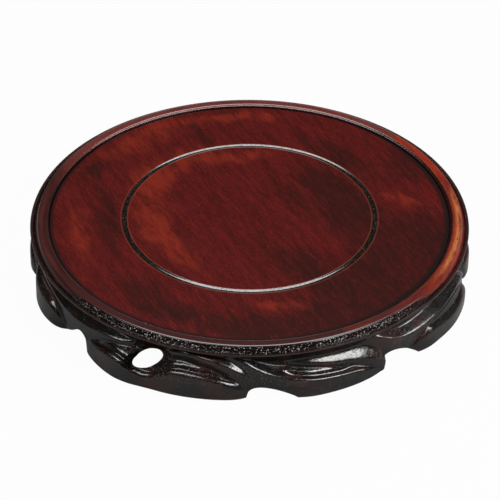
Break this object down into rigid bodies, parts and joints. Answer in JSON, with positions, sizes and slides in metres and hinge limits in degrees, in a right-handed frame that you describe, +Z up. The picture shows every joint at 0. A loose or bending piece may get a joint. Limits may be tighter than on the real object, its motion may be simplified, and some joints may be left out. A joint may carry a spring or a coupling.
{
  "type": "round wooden display stand",
  "caption": "Low round lacquered wooden stand with a raised rim, a turned ring groove and a black carved, pierced apron of cloud-shaped feet.",
  "frame": {"origin": "on the stand's axis, on the surface that it stands on", "axes": "+Z up along the stand's axis; -Y towards the side that the picture shows nearest"},
  "size_m": [0.226, 0.226, 0.0289],
  "materials": {
    "panel_lacquer": "gloss",
    "rim_lacquer": "gloss",
    "black_lacquer": "gloss",
    "bare_wood": "matte"
  },
  "bodies": {
    "root": {"panel": "panel_lacquer", "rim_arc_1": "rim_lacquer", "rim_arc_2": "rim_lacquer", "rim_arc_3": "rim_lacquer", "rim_arc_4": "rim_lacquer", "rim_arc_5": "rim_lacquer", "rim_arc_6": "rim_lacquer", "rim_arc_7": "rim_lacquer", "rim_tongue_1": "bare_wood", "rim_tongue_2": "bare_wood", "rim_tongue_3": "bare_wood", "rim_tongue_4": "bare_wood", "rim_tongue_5": "bare_wood", "rim_tongue_6": "bare_wood", "rim_tongue_7": "bare_wood", "apron_small_front": "black_lacquer", "dowel_small_front": "bare_wood", "apron_pierced_front": "black_lacquer", "dowel_pierced_front": "bare_wood", "apron_scooped_front": "black_lacquer", "dowel_scooped_front": "bare_wood", "apron_long_front": "black_lacquer", "dowel_long_front": "bare_wood", "apron_tail_front": "black_lacquer", "dowel_tail_front": "bare_wood", "apron_small_back": "black_lacquer", "dowel_small_back": "bare_wood", "apron_pierced_back": "black_lacquer", "dowel_pierced_back": "bare_wood", "apron_scooped_back": "black_lacquer", "dowel_scooped_back": "bare_wood", "apron_long_back": "black_lacquer", "dowel_long_back": "bare_wood", "apron_tail_back": "black_lacquer", "dowel_tail_back": "bare_wood"}
  },
  "joints": []
}
